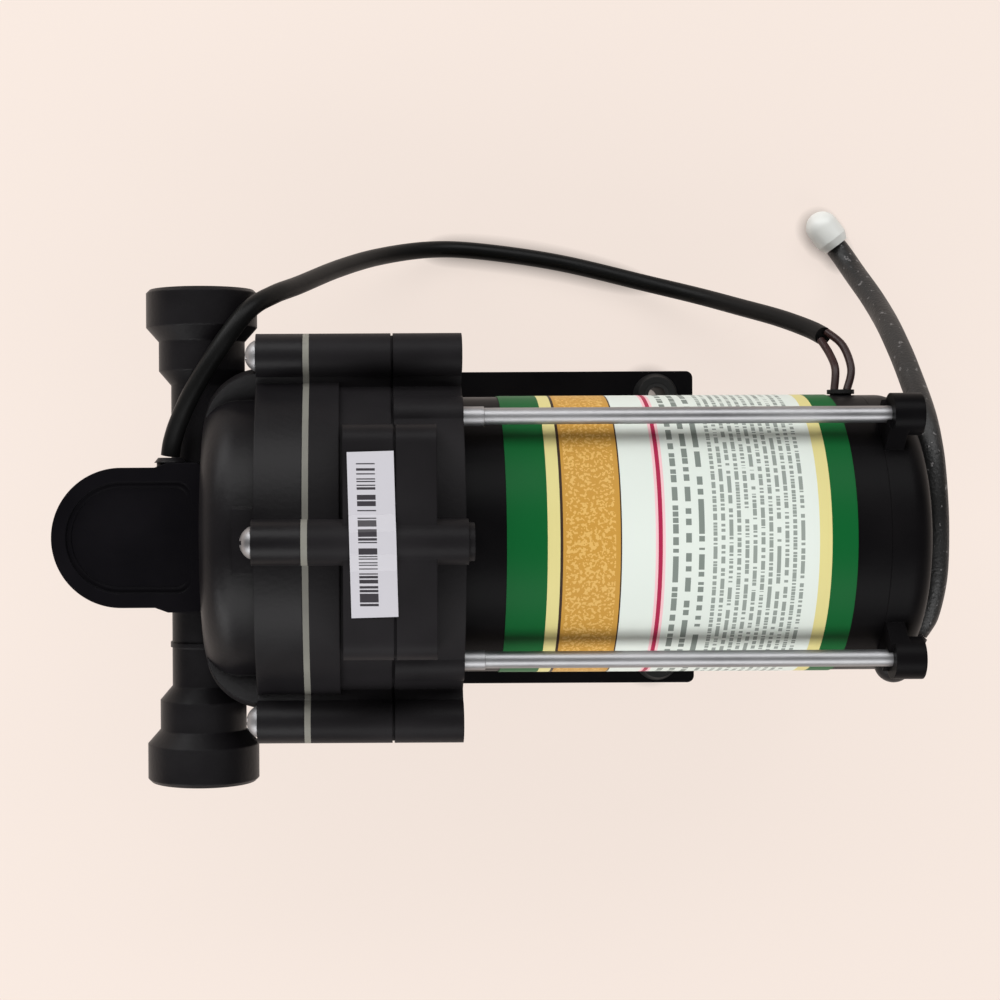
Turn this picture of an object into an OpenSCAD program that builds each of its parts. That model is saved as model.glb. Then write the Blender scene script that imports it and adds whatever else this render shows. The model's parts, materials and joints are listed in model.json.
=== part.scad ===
// Caravan water pump: a three-chamber wobble-plate diaphragm pump with a pressure switch on
// its manifold and a permanent-magnet motor behind it. Millimetres, +Z up, +X to the motor's rear.
// The origin is the middle of the four foot holes, on the floor. "Axis" is the pump's own axis.

/* [Stance] */
// Height of the pump axis above the floor
axis_h = 58; // [57:0.5:70]
// X of the joint between pump head and motor
motor_front_x = -24.9; // [-28:0.1:-20]

/* [Pump head] */
// Radius of the round flanges
head_r = 43; // [42:0.5:44]
// Radius of the circle of the head screws
bolt_circle_r = 48; // [47:0.5:50]
// Radius of a screw boss
boss_r = 5; // [4.5:0.1:5.5]
// Width of the web that ties a boss to the head
boss_web_w = 7; // [6:0.5:8]
// Number of head screws
screw_count = 6; // [6:6:6]
// Thickness of the front cover's flange
cover_flange_t = 10.7; // [10.5:0.1:12]
// Thickness of the diaphragm's clamped rim
diaphragm_t = 1.4; // [1.2:0.1:2]
// Length of the front housing
housing_front_l = 19; // [18.6:0.1:20]
// Length of the front housing's full-width flange
housing_flange_l = 6.8; // [5:0.1:8]
// Length of the rear housing
housing_rear_l = 15.6; // [15.2:0.1:17]
// Radius of the chamber that the wobble plate swings in
crank_r = 37.5; // [37.3:0.1:38.5]
// Width of the flat pads on the top and bottom of the housings
pad_w = 50.8; // [46:0.2:52]
// Height of a pad's face from the axis
pad_h = 51.5; // [50:0.1:52.5]
// Setback of the housings' sides behind the flange
housing_step = 1.2; // [0.6:0.1:2]
// Depth of the groove along the seam between the housings
seam_d = 0.5; // [0.4:0.1:1.2]

/* [Front cover] */
// Height of the dome over the flange
dome_h = 12.9; // [12.6:0.1:14]
// Radius of the dome's foot
dome_foot_r = 37.2; // [36.5:0.1:38.5]
// Rounding of the dome's shoulder
dome_round = 9; // [7:0.5:10]
// Width of the gussets from the dome to the side screws
rib_w = 2.4; // [2:0.2:4]
// Length of the gussets from the dome's shoulder to the screws
rib_span = 14.2; // [13:0.2:15]
// Width of the flat seats under the upper and lower screws
seat_w = 14.6; // [12:0.2:16]
// Length of the flat seats in front of the flange
seat_l = 4.8; // [3:0.2:6]

/* [Manifold] */
// Outside radius of the pipe across the front
pipe_r = 7.4; // [7:0.1:8]
// Bore radius of the pipe
pipe_bore_r = 5; // [4:0.1:5.4]
// Distance between the faces of the two ports
port_span = 117.4; // [114:0.2:124]
// Radius of a port's collar
collar_r = 13.3; // [12:0.1:14]
// Length of a port's collar
collar_l = 9; // [7:0.2:11]
// Radius of a port's neck
neck_r = 10.3; // [10:0.1:11]
// Length of a port's neck
neck_l = 7; // [5:0.2:9]
// Length of each cone between collar, neck and pipe
port_cone_l = 3.4; // [2:0.2:5]
// Wall radius of a port's tapped hole
port_hole_r = 7.5; // [7:0.1:8]
// Depth of a port's tapped hole
port_hole_l = 15; // [12:0.5:18]

/* [Pumping] */
// Tilt of the wobble plate in degrees
wobble_a = 3.5; // [2:0.1:4]
// Distance of the three chambers from the axis
chamber_c = 24; // [23.5:0.1:24.5]
// Radius of a piston pad of the diaphragm
piston_r = 13; // [12:0.1:13.2]
// Thickness of a piston pad
piston_t = 2.4; // [2:0.1:3]
// Width of the ring left free round a piston pad
piston_gap = 0.5; // [0.4:0.05:0.6]
// Thickness of the valve plate
valve_plate_t = 7; // [6.8:0.1:7.4]
// Depth of a pumping chamber in the valve plate
chamber_d = 4; // [3.8:0.1:4.4]

/* [Motor] */
// Radius of the motor can
can_r = 32.8; // [32:0.1:34]
// Length of the motor can
can_l = 95.5; // [94:0.5:100]
// Wall of the motor can
can_wall = 1.5; // [1:0.1:2]
// Radius of the motor shaft
shaft_r = 4; // [3.5:0.1:4.2]
// Thickness of the printed wrap round the can
wrap_t = 0.2; // [0.1:0.05:0.3]
// Distance from the can's front to the wrap
wrap_start = 9.5; // [6:0.5:14]
// Length of the wrap
wrap_l = 78.3; // [70:0.1:82]
// Height and sideways distance of a through bolt from the axis
through_c = 27.5; // [27:0.1:29]
// Radius of a through bolt
through_r = 1.9; // [1.5:0.1:2.2]
// Radius of the rear cap's ears
ear_r = 4.8; // [4.2:0.1:5.4]
// Depth of the rear cap
cap_l = 10.4; // [10:0.1:12]
// Rounding of the rear cap's edge
cap_round = 6; // [4:0.5:7]

/* [Pressure switch] */
// Radius of the switch's round front
switch_r = 16.3; // [16:0.1:17]
// Distance of the switch's centre in front of the pipe
switch_reach = 17.8; // [17:0.1:19]
// Width of the switch's saddle over the pipe
saddle_w = 34.8; // [34:0.2:37]
// Height of the switch's top above the axis
switch_top = 15; // [14.5:0.1:16]
// Depth of the switch's underside below the axis
switch_bottom = 15; // [14:0.1:16]
// Height of the switch's parting plane from the axis
parting_z = -1; // [-1.4:0.1:-0.8]
// Depth of the bare panel in the switch's top
panel_d = 0.8; // [0.4:0.1:1.2]
// Travel of the plunger
plunger_travel = 1; // [0.6:0.1:1]

/* [Base] */
// Distance between foot holes along the pump
foot_dx = 60; // [56:1:62]
// Distance of a foot hole from the base plate's side edge
foot_inset = 6.5; // [6.4:0.1:8]
// Radius of a foot
foot_r = 6.4; // [6:0.1:6.5]
// Radius of the hole for a mounting screw
foot_hole_r = 2.3; // [2:0.1:2.6]
// Depth of the base plate's top below the axis
plate_drop = 45; // [44:0.5:46]
// Thickness of the base plate
plate_t = 3; // [2.5:0.1:3.5]
// Width of the base plate
plate_w = 82; // [81:0.5:88]
// X of the base plate's rear edge
plate_rear_x = 39.8; // [38:0.2:44]

/* [Leads] */
// Diameter of the switch cable
cable_d = 4.5; // [4:0.1:4.6]
// Diameter of a motor lead
wire_d = 1.9; // [1.6:0.1:2]
// Diameter of the insulating sleeve
sleeve_d = 5.8; // [5.4:0.1:6.2]

/* [Hidden] */
$fn = 96;

// Shared clearances
fit = 0.1;       // between a screw or insert and its hole
running = 0.05;  // radial, between a shaft and its bearing
swing = 0.3;     // least gap between moving pieces

// Stations along the axis, from the motor joint forwards
seam_x = motor_front_x - housing_rear_l;
rim_x = seam_x - housing_front_l;
cover_x = rim_x - diaphragm_t;
flange_x = cover_x - cover_flange_t;
dome_x = flange_x - dome_h;
pipe_x = dome_x - 1.3;
can_end_x = motor_front_x + can_l;
cap_x = can_end_x + cap_l;
can_in_r = can_r - can_wall;

// Drive: the wobble centre lies in the middle of the diaphragm
centre_x = cover_x + diaphragm_t / 2;
platform_x = centre_x + piston_t / 2;
platform_t = 2.8;
arm_x = platform_x + platform_t;
arm_t = 5;
wobble_bearing_w = 8;
wobble_bearing_r = 13;
journal_r = 5;
plate_floor_t = 1.5;
wobble_bearing_x = arm_x + plate_floor_t;
wobble_tube_r = 16.5;
hub_r = 10;
hub_l = 10;
hub_x = wobble_bearing_x + wobble_bearing_w + 2;
shaft_front_x = hub_x + 1;

// Motor inside
bearing_r = 11;
bearing_w = 7;
bearing_seat_t = 1.2;
front_bearing_x = motor_front_x - bearing_seat_t - bearing_w;
rear_bearing_x = cap_x - 2.5 - bearing_w;
shaft_rear_x = rear_bearing_x + bearing_w - 0.5;
core_r = 24.8;
core_l = 44;
core_gap = 27;
core_x = motor_front_x + core_gap;
slot_floor_r = 12;
tooth_tip = 2.5;
winding_inset = 3;
box_mouth = 5;
slot_count = 10;
air_gap = 1;
magnet_l = 56;
winding_t = 8.5;
commutator_r = 9;
commutator_l = 12;
commutator_x = core_x + core_l + winding_t + 1.5;
brush_w = 8;
brush_t = 6;
brush_l = 9;
brush_x = commutator_x + 2;
brush_spring_l = 5.6;
holder_t = 1.9;
holder_x = commutator_x + commutator_l - 1.5;

// Screws
screw_r = 2;
screw_head_r = 3.5;
screw_head_h = 2.6;
boss_end_l = 1.3;
lug_r = 4.6;
rear_pad_l = 8.8;
pad_gap = 0.8;
boss_end_r = 4.2;
collar_end_l = 4.8;
collar_end_r = 2.2;
ear_l = 6.8;
ear_x = can_end_x + 1;
bolt_head_r = 3.4;
bolt_head_h = 2.4;
bolt_seat_x = ear_x + ear_l - bolt_head_h;

// Pressure switch
switch_x = pipe_x - switch_reach;
saddle_x = dome_x - swing;
saddle_l = 8;
saddle_slope = 3;
switch_wall = 2.2;
channel_gap = 0.2;
sense_y = -8.5;
sense_z = -4.2;
sense_r = 1.2;
spigot_r = 2.2;
spigot_l = 2.4;
press_x = switch_x - 2.5;
pressure_r = 8.5;
valve_plate_r = crank_r + 1.2;
chamber_r = piston_r + 0.4;
switch_membrane_r = 10.5;
clamp_r = 9.6;
switch_membrane_t = 1.2;
plunger_plate_r = 7.6;
plunger_plate_t = 2;
stem_r = 2;
stem_l = 4.2;
spring_wire_r = 0.4;
spring_r = 4.2;
spring_l = 3.2;
spring_turns = 2.5;
spring_plate_t = 1;
hollow_r = 9;
button_r = 1;
button_l = 2.4;
button_out = plunger_travel - fit;
micro_l = 17;
micro_w = 5.4;
gland_x = pipe_x - 6.8;
gland_z = 9.5;
gland_r = 3.2;
gland_flange_r = 3.8;
gland_flange_t = 1.2;
membrane_z = parting_z - switch_membrane_t;
plate_z = parting_z;
spring_z = plate_z + plunger_plate_t;
spring_seat_z = spring_z + spring_l;
button_z = plate_z + plunger_plate_t + stem_l + fit;
micro_z = button_z + button_out;
micro_top = switch_top - panel_d - switch_wall;

// Base
plate_z0 = axis_h - plate_drop - plate_t;
plate_top = axis_h - plate_drop;
foot_dy = plate_w - 2 * foot_inset;
arm_inner_y = pad_w / 2 + 1.2;
arm_front_x = -foot_dx / 2 - 10;
upright_t = 3;
upright_w = 48;
upright_h = 10;
bracket_screw_y = 15;
bracket_screw_r = 1.8;
foot_neck_r = 4.2;
foot_collar_r = 5.9;
foot_collar_t = 3;
bush_r = 3.2;

// Lead routes, as points from the axis height upwards, chosen by hand
cable_route = [[0, 0, 0], [0.6, 3.5, 0.4], [2.4, 8.5, 1.6], [6.2, 16, 3.4], [13, 26.6, 4.4],
    [18.9, 34.2, 2.4], [24.4, 38.2, -4], [30, 41.4, -14.5], [39.5, 47.4, -34.5], [50, 52.2, -51.5],
    [63.5, 55.2, -62.4], [77, 55, -65], [98.5, 51.8, -65], [122, 45.8, -62.6], [134.5, 41.8, -55.6],
    [143, 38.1, -45.6], [150.6, 34.3, -33.6], [155.8, 30.8, -23.6], [158, 28.6, -18]];
sleeve_route = [[82.41, -22.98, 9.5], [83.56, -21.34, 9.6], [84.7, -18.8, 10.4], [85.6, -13.2, 12.2],
    [86, -6.7, 13.5], [86, 3.8, 14], [85.6, 14.3, 13.4], [85.4, 21.3, 11.2], [85.3, 28.5, 6.2],
    [85.6, 39.5, -7.5], [85.8, 46, -16.8], [86, 52.6, -27.5], [85.4, 59.7, -38.8], [83.8, 66.6, -48.6],
    [82.2, 71, -52.8], [81, 73.4, -54.3], [80.25, 74.5, -54.6]];
cap_end = [80, 74.8, -53.6];
cap_turn = 37;
cap_hat_r = 4.3;
cap_hat_l = 10.4;

// Places children drawn in the YZ plane, growing along +X
module along_x(x) {
    translate([x, 0, axis_h]) rotate([90, 0, 90]) children();
}

// Places children drawn from above, at a height over the axis
module from_above(x, z) {
    translate([x, 0, axis_h + z]) children();
}

// Tilts children with the wobble plate
module tilted() {
    translate([centre_x, 0, axis_h]) rotate([0, -wobble_a, 0]) translate([-centre_x, 0, -axis_h])
        children();
}

module at_screws() {
    for (i = [0 : screw_count - 1]) rotate(i * 360 / screw_count) translate([0, bolt_circle_r]) children();
}

module at_chambers() {
    for (i = [0 : 2]) rotate(30 + i * 120) translate([0, chamber_c]) children();
}

module at_corners() {
    for (y = [-1, 1], z = [-1, 1]) translate([y * through_c, z * through_c]) children();
}

module at_feet() {
    for (x = [-1, 1], y = [-1, 1]) translate([x * foot_dx / 2, y * foot_dy / 2]) children();
}

module ring(outer, inner, h) {
    difference() {
        cylinder(r = outer, h = h);
        translate([0, 0, -1]) cylinder(r = inner, h = h + 2);
    }
}

// Outline of the head: round body, webs and screw bosses
module head_outline(shrink = 0, body_r = head_r) {
    circle(r = body_r - shrink);
    at_screws() circle(r = boss_r - shrink);
    for (i = [0 : screw_count - 1]) rotate(i * 360 / screw_count)
        translate([-boss_web_w / 2 + shrink, body_r - 8])
            square([boss_web_w - 2 * shrink, bolt_circle_r - body_r + 8]);
}

// Outline of the housings behind the flange, with flat pads above and below
module housing_outline(shrink = 0) {
    head_outline(shrink, head_r - housing_step);
    pad_round = 4;
    half_w = pad_w / 2 - shrink;
    half_h = pad_h - shrink;
    square([2 * half_w, 2 * (half_h - pad_round)], center = true);
    square([2 * (half_w - pad_round), 2 * half_h], center = true);
    for (y = [-1, 1], z = [-1, 1])
        translate([y * (half_w - pad_round), z * (half_h - pad_round)]) circle(r = pad_round);
}

// Catmull-Rom smoothing of a route, then a tube swept along it as one closed surface
function spline(a, b, c, d, t) =
    0.5 * ((2 * b) + (c - a) * t + (2 * a - 5 * b + 4 * c - d) * t * t
    + (3 * b - a - 3 * c + d) * t * t * t);
function point(r, i) = r[min(max(i, 0), len(r) - 1)];
function smooth(r, steps) = concat(
    [for (i = [0 : len(r) - 2]) for (j = [0 : steps - 1])
        spline(point(r, i - 1), r[i], r[i + 1], point(r, i + 2), j / steps)],
    [r[len(r) - 1]]);
function unit(v) = v / norm(v);
function heading(r, i) = unit(point(r, i + 1) - point(r, i - 1));
function side(t) = unit(cross(t, [0, 0, 1]));
function ring_point(p, t, radius, a) =
    p + radius * (cos(a) * side(t) + sin(a) * cross(side(t), t));
module tube(route, radius, sides) {
    count = len(route);
    points = [for (i = [0 : count - 1]) for (k = [0 : sides - 1])
        ring_point(route[i], heading(route, i), radius, k * 360 / sides)];
    walls = [for (i = [0 : count - 2]) for (k = [0 : sides - 1]) for (half = [0, 1])
        let (a = i * sides + k, b = i * sides + (k + 1) % sides)
        half == 0 ? [a, b, b + sides] : [a, b + sides, a + sides]];
    front = [for (k = [1 : sides - 2]) [0, k + 1, k]];
    last = (count - 1) * sides;
    back = [for (k = [1 : sides - 2]) [last, last + k, last + k + 1]];
    polyhedron(points = points, faces = concat(walls, front, back));
}

// Coil by formula, standing along +Z
function coil(radius, height, turns, per_turn) =
    [for (i = [0 : turns * per_turn]) let (a = i * 360 / per_turn)
        [radius * cos(a), radius * sin(a), height * i / (turns * per_turn)]];

// Pan head with a cross recess, its seat at the origin and its head along -Z
module pan_head(r, h) {
    cross_w = r * 0.28;
    difference() {
        rotate_extrude() intersection() {
            translate([0, -h]) square([r, h]);
            translate([0, r * 1.1 - h]) circle(r = r * 1.1);
        }
        for (a = [0, 90]) rotate(a) translate([-r * 0.55, -cross_w / 2, -h - 1])
            cube([r * 1.1, cross_w, 1 + h * 0.55]);
    }
}

// Dome of the front cover
module dome() {
    mirror([0, 0, 1]) rotate_extrude() intersection() {
        union() {
            square([dome_foot_r - dome_round, dome_h]);
            square([dome_foot_r, dome_h - dome_round]);
            translate([dome_foot_r - dome_round, dome_h - dome_round]) circle(r = dome_round);
        }
        square([dome_foot_r, dome_h]);
    }
}

// Curved gussets from the dome's shoulder to the four side screws
module gussets() {
    reach = bolt_circle_r - screw_head_r - swing;
    drop = 2.1;
    curve_r = norm([rib_span, drop]);
    for (i = [1, 2, 4, 5]) rotate(i * 360 / screw_count) mirror([0, 0, 1])
        translate([-rib_w / 2, 0, 0]) rotate([90, 0, 90]) linear_extrude(rib_w) intersection() {
            translate([dome_foot_r - dome_round, -1]) square([reach, dome_h]);
            translate([reach - rib_span, -drop]) circle(r = curve_r);
        }
}

// One end of the manifold, from its face inwards, along -Z from the origin
module port_end() {
    neck_z = collar_l + port_cone_l;
    pipe_z = neck_z + neck_l + port_cone_l;
    rim = 0.8;
    mirror([0, 0, 1]) rotate_extrude() polygon([[0, 0], [collar_r - rim, 0], [collar_r, rim],
        [collar_r, collar_l], [neck_r, neck_z], [neck_r, neck_z + neck_l], [pipe_r, pipe_z], [0, pipe_z]]);
}

module at_ports() {
    for (s = [0, 1]) translate([pipe_x, 0, axis_h]) mirror([0, s, 0]) rotate([-90, 0, 0])
        translate([0, 0, port_span / 2]) children();
}

// Front cover with its dome, ribs, manifold and ports
inner_front_x = dome_x + 6.4;
outlet_r = 14;
inlet_in_r = 17.5;
inlet_out_r = 33;
inlet_depth = 10;
divider = 4;
pipe_ring_y = -26;
seat_drop = 2.5;
inlet_y = 25;
inlet_way_r = 4;
outlet_way_r = 3.5;
module front_cover() {
    color("#17171a") difference() {
        union() {
            along_x(flange_x) linear_extrude(cover_flange_t) head_outline();
            along_x(flange_x) dome();
            along_x(flange_x) gussets();
            along_x(flange_x - seat_l) linear_extrude(seat_l + 1) intersection() {
                circle(r = head_r - seat_drop);
                square([seat_w, 2 * head_r], center = true);
            }
            translate([pipe_x, 0, axis_h]) rotate([90, 0, 0])
                cylinder(r = pipe_r, h = port_span - 2 * collar_l, center = true);
            translate([pipe_x, pipe_ring_y, axis_h]) rotate([90, 0, 0])
                cylinder(r = pipe_r + 0.4, h = 1.2, center = true);
            at_ports() port_end();
        }
        along_x(cover_x) mirror([0, 0, 1]) translate([0, 0, -1])
            cylinder(r = valve_plate_r + fit, h = valve_plate_t + 1);
        along_x(inner_front_x) cylinder(r = outlet_r, h = cover_x - inner_front_x);
        along_x(cover_x - valve_plate_t - inlet_depth) ring(inlet_out_r, inlet_in_r, inlet_depth + 1);
        at_ports() translate([0, 0, -port_hole_l]) cylinder(r = port_hole_r, h = port_hole_l + 1);
        at_ports() translate([0, 0, divider - port_span / 2])
            cylinder(r = pipe_bore_r, h = port_span / 2 - divider - port_hole_l + 1);
        translate([pipe_x, inlet_y, axis_h]) rotate([0, 90, 0]) cylinder(r = inlet_way_r, h = 12);
        translate([pipe_x, sense_y, axis_h]) rotate([0, 90, 0]) cylinder(r = outlet_way_r, h = 8);
        translate([pipe_x, sense_y, axis_h + sense_z]) rotate([0, -90, 0])
            cylinder(r = spigot_r + fit, h = pipe_r + 1);
        from_above(pipe_x - 1.5, -pipe_r - 1) cylinder(r = 1.3 + fit, h = 7);
        along_x(flange_x - 1) linear_extrude(cover_flange_t + 2) at_screws() circle(r = screw_r + fit);
    }
}

// Valve plate with three chambers, inlet holes and outlet holes
inlet_hole_c = 3;
outlet_hole_c = 10;
module valve_plate() {
    color("#d8d8d2") along_x(cover_x - valve_plate_t) difference() {
        cylinder(r = valve_plate_r, h = valve_plate_t);
        at_chambers() translate([0, 0, valve_plate_t - chamber_d])
            cylinder(r = chamber_r, h = chamber_d + 1);
        at_chambers() translate([0, 0, -1]) cylinder(r = 1.2, h = valve_plate_t);
        at_chambers() for (a = [0 : 90 : 270]) rotate(a) translate([inlet_hole_c, 0, -1])
            cylinder(r = 1, h = valve_plate_t);
        translate([0, 0, -1]) cylinder(r = 1.7, h = valve_plate_t - 1);
        for (i = [0 : 2]) rotate(30 + i * 120) translate([0, outlet_hole_c, -1])
            cylinder(r = 1.5, h = valve_plate_t + 2);
    }
}

// Umbrella valves in the chambers
module inlet_valves() {
    color("#2a2a2a") along_x(cover_x - chamber_d) at_chambers() {
        cylinder(r1 = 4.5, r2 = 2.5, h = 0.9);
        translate([0, 0, chamber_d - valve_plate_t - 0.6])
            cylinder(r = 1.1, h = valve_plate_t - chamber_d + 0.7);
    }
}

// Dome valve over the outlet holes
module outlet_valve() {
    color("#2a2a2a") along_x(cover_x - valve_plate_t) {
        translate([0, 0, -2.2]) cylinder(r1 = 6, r2 = 12.6, h = 2.2);
        cylinder(r = 1.6, h = valve_plate_t - 2.5);
    }
}

// Clamped rim of the diaphragm, with a free ring round each piston pad
module diaphragm() {
    color("#e8e2c4") along_x(cover_x) linear_extrude(diaphragm_t) difference() {
        head_outline();
        at_chambers() circle(r = piston_r + piston_gap);
        at_screws() circle(r = screw_r + fit);
    }
}

module piston_pads() {
    color("#e8e2c4") tilted() along_x(centre_x - piston_t / 2) at_chambers() difference() {
        cylinder(r = piston_r, h = piston_t);
        translate([0, 0, 1]) cylinder(r = 1.5 + fit, h = piston_t);
    }
}

module piston_screws() {
    color("silver") tilted() along_x(centre_x - piston_t / 2) at_chambers() {
        translate([0, 0, 1]) cylinder(r = 1.5, h = piston_t - 1 + platform_t);
        translate([0, 0, piston_t + platform_t]) mirror([0, 0, 1]) pan_head(2.8, 2);
    }
}

// Wobble plate: three round platforms on arms round the bearing tube
module wobble_plate() {
    arm_w = 14;
    color("#c9c9c4") tilted() along_x(platform_x) difference() {
        union() {
            at_chambers() cylinder(r = 11, h = platform_t);
            for (i = [0 : 2]) rotate(30 + i * 120) {
                translate([-arm_w / 2, 10, platform_t / 2])
                    cube([arm_w, chamber_c - 15.2, platform_t / 2 + arm_t]);
            }
            translate([0, 0, platform_t - 0.2])
                cylinder(r = wobble_tube_r, h = plate_floor_t + wobble_bearing_w + 0.2);
        }
        translate([0, 0, platform_t + plate_floor_t])
            cylinder(r = wobble_bearing_r, h = wobble_bearing_w + 1);
        at_chambers() translate([0, 0, -1]) cylinder(r = 1.5 + fit, h = platform_t + 2);
    }
}

// Sealed ball bearing: ring with shield grooves
module ball_bearing(outer, inner, w) {
    difference() {
        ring(outer, inner, w);
        for (z = [-1, w - 0.3]) translate([0, 0, z]) ring(outer - 1.8, inner + 1.8, 1.3);
    }
}

module wobble_bearing() {
    color("silver") tilted() along_x(wobble_bearing_x)
        ball_bearing(wobble_bearing_r, journal_r + running, wobble_bearing_w);
}

// Hub on the shaft with the inclined journal that the wobble plate runs on
module eccentric_hub() {
    shoulder_r = 6.5;
    color("#9a9a9a") difference() {
        union() {
            along_x(hub_x) cylinder(r = hub_r, h = hub_l);
            tilted() along_x(wobble_bearing_x + 1) cylinder(r = journal_r, h = hub_x - wobble_bearing_x + 1);
            tilted() along_x(wobble_bearing_x + wobble_bearing_w + fit) cylinder(r = shoulder_r, h = 3);
        }
        along_x(shaft_front_x) cylinder(r = shaft_r, h = hub_l);
        along_x(hub_x + hub_l / 2 + 1) rotate([-90, 0, 0]) cylinder(r = 1.5, h = hub_r + 1);
    }
}

module hub_set_screw() {
    color("dimgray") along_x(hub_x + hub_l / 2 + 1) rotate([-90, 0, 0]) translate([0, 0, shaft_r])
        difference() {
            cylinder(r = 1.5, h = hub_r - shaft_r - 0.5);
            translate([0, 0, 3]) cylinder(r = 0.8, h = 4, $fn = 6);
        }
}

// Front housing: flange, then a slimmer body with flat pads, round the wobble plate
module housing_front() {
    color("#1a1a1d") along_x(rim_x) difference() {
        union() {
            linear_extrude(housing_flange_l) head_outline();
            translate([0, 0, housing_flange_l - 1])
                linear_extrude(housing_front_l - seam_d - housing_flange_l + 1)
                    head_outline(0, head_r - housing_step);
            translate([0, 0, housing_flange_l + pad_gap])
                linear_extrude(housing_front_l - seam_d - housing_flange_l - pad_gap) housing_outline();
            translate([0, 0, housing_front_l - seam_d - 1])
                linear_extrude(seam_d + 1) housing_outline(seam_d);
        }
        translate([0, 0, -1]) cylinder(r = crank_r, h = housing_front_l + 2);
        translate([0, 0, -1]) linear_extrude(housing_front_l + 2) at_screws() circle(r = screw_r + fit);
    }
}

// Rear housing: closes the crank chamber, holds the front bearing and the through bolts
module housing_rear() {
    chamber_l = front_bearing_x - seam_x;
    color("#1a1a1d") along_x(seam_x) difference() {
        union() {
            linear_extrude(rear_pad_l) housing_outline();
            linear_extrude(housing_rear_l) {
                head_outline(0, head_r - housing_step);
                at_corners() circle(r = lug_r);
            }
            for (a = [0, 180]) rotate(a) translate([0, bolt_circle_r])
                cylinder(r = boss_end_r, h = housing_rear_l + boss_end_l);
        }
        translate([0, 0, -1]) cylinder(r = hub_r + 4, h = chamber_l + 1);
        translate([0, 0, -1]) cylinder(r = bearing_r, h = chamber_l + bearing_w + 1);
        cylinder(r = shaft_r + 1, h = housing_rear_l + 1);
        translate([0, 0, -1]) ring(crank_r - 4, hub_r + 7, 6);
        translate([0, 0, -1]) linear_extrude(housing_rear_l + 0.5) at_screws() circle(r = screw_r + fit);
        translate([0, 0, housing_rear_l - 8]) linear_extrude(9) at_corners() circle(r = through_r + fit);
        translate([0, bracket_screw_z - axis_h, housing_rear_l - 8]) linear_extrude(9)
            for (y = [-1, 1]) translate([y * bracket_screw_y, 0]) circle(r = bracket_screw_r + fit);
    }
}

module head_screws() {
    tip_x = motor_front_x - 2;
    color("#d9d9de") along_x(flange_x) at_screws() {
        pan_head(screw_head_r, screw_head_h);
        cylinder(r = screw_r, h = tip_x - flange_x);
    }
}

// Motor can: drawn cup with a hole for the shaft and one for the leads
grommet_x = can_end_x - 3.2;
grommet_r = 2.5;
module motor_can() {
    color("#1b1b1d") difference() {
        along_x(motor_front_x) difference() {
            cylinder(r = can_r, h = can_l);
            translate([0, 0, can_wall]) cylinder(r = can_in_r, h = can_l);
            translate([0, 0, -1]) cylinder(r = shaft_r + 4, h = can_wall + 2);
        }
        translate([grommet_x, can_in_r - 3, axis_h]) rotate([-90, 0, 0]) cylinder(r = grommet_r, h = 8);
    }
}

module motor_wrap() {
    color("#1f6b3c") along_x(motor_front_x + wrap_start) ring(can_r + wrap_t, can_r, wrap_l);
}

// Two arc magnets glued inside the can
module magnets() {
    spread = 62;
    reach = 2 * can_r;
    color("#4a4a4c") along_x(core_x + core_l / 2 - magnet_l / 2) for (s = [0, 180]) rotate(s)
        linear_extrude(magnet_l) intersection() {
            difference() {
                circle(r = can_in_r);
                circle(r = core_r + air_gap);
            }
            polygon([[0, 0], [reach * cos(spread), reach * sin(spread)], [reach, reach], [reach, -reach],
                [reach * cos(spread), -reach * sin(spread)]]);
        }
}

module motor_shaft() {
    color("silver") along_x(shaft_front_x) cylinder(r = shaft_r, h = shaft_rear_x - shaft_front_x);
}

// Slotted stack on the shaft
module armature_core() {
    slot_w = 4;
    neck_w = 1.6;
    color("#77777a") along_x(core_x) linear_extrude(core_l) difference() {
        circle(r = core_r);
        circle(r = shaft_r);
        for (i = [0 : slot_count - 1]) rotate(i * 360 / slot_count) {
            translate([-slot_w / 2, slot_floor_r]) square([slot_w, core_r - slot_floor_r - tooth_tip]);
            translate([-neck_w / 2, slot_floor_r]) square([neck_w, core_r]);
        }
    }
}

// Wound ends of the armature
module windings() {
    inner = 8;
    outer = core_r - winding_inset;
    bulge = winding_t / 2;
    color("#a5642a") for (x = [core_x - winding_t, core_x + core_l]) along_x(x) rotate_extrude() {
        translate([inner, bulge / 2]) square([outer - inner, winding_t - bulge]);
        translate([inner + bulge, 0]) square([outer - inner - 2 * bulge, winding_t]);
    }
}

module commutator() {
    gap_w = 0.5;
    color("#b87333") along_x(commutator_x) linear_extrude(commutator_l) difference() {
        circle(r = commutator_r);
        circle(r = shaft_r);
        for (i = [0 : slot_count - 1]) rotate(i * 360 / slot_count)
            translate([-gap_w / 2, commutator_r - 1.2]) square([gap_w, 2]);
    }
}

module front_bearing() {
    color("silver") along_x(front_bearing_x) ball_bearing(bearing_r, shaft_r + running, bearing_w);
}

module rear_bearing() {
    color("silver") along_x(rear_bearing_x) ball_bearing(bearing_r, shaft_r + running, bearing_w);
}

// Insulating ring in the can's rear end with two brush boxes
module brush_holder() {
    box_wall = 1.2;
    box_in = commutator_r + 2;
    box_out = brush_tail + brush_spring_l + box_wall;
    color("#3a2a20") along_x(0) difference() {
        union() {
            translate([0, 0, holder_x]) ring(can_in_r - fit, commutator_r + 1.5, holder_t);
            for (s = [0, 180]) rotate(s)
                translate([-brush_t / 2 - box_wall, box_in, brush_x - box_wall])
                    cube([brush_t + 2 * box_wall, box_out - box_in, holder_x - brush_x + box_wall]);
        }
        for (s = [0, 180]) rotate(s) translate([-brush_t / 2, box_in - box_mouth, brush_x])
            cube([brush_t, box_out - box_in + box_mouth - box_wall, brush_w]);
        translate([0, 0, holder_x - 1]) cylinder(r = commutator_r + 1.5, h = holder_t + 2);
    }
}

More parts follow.
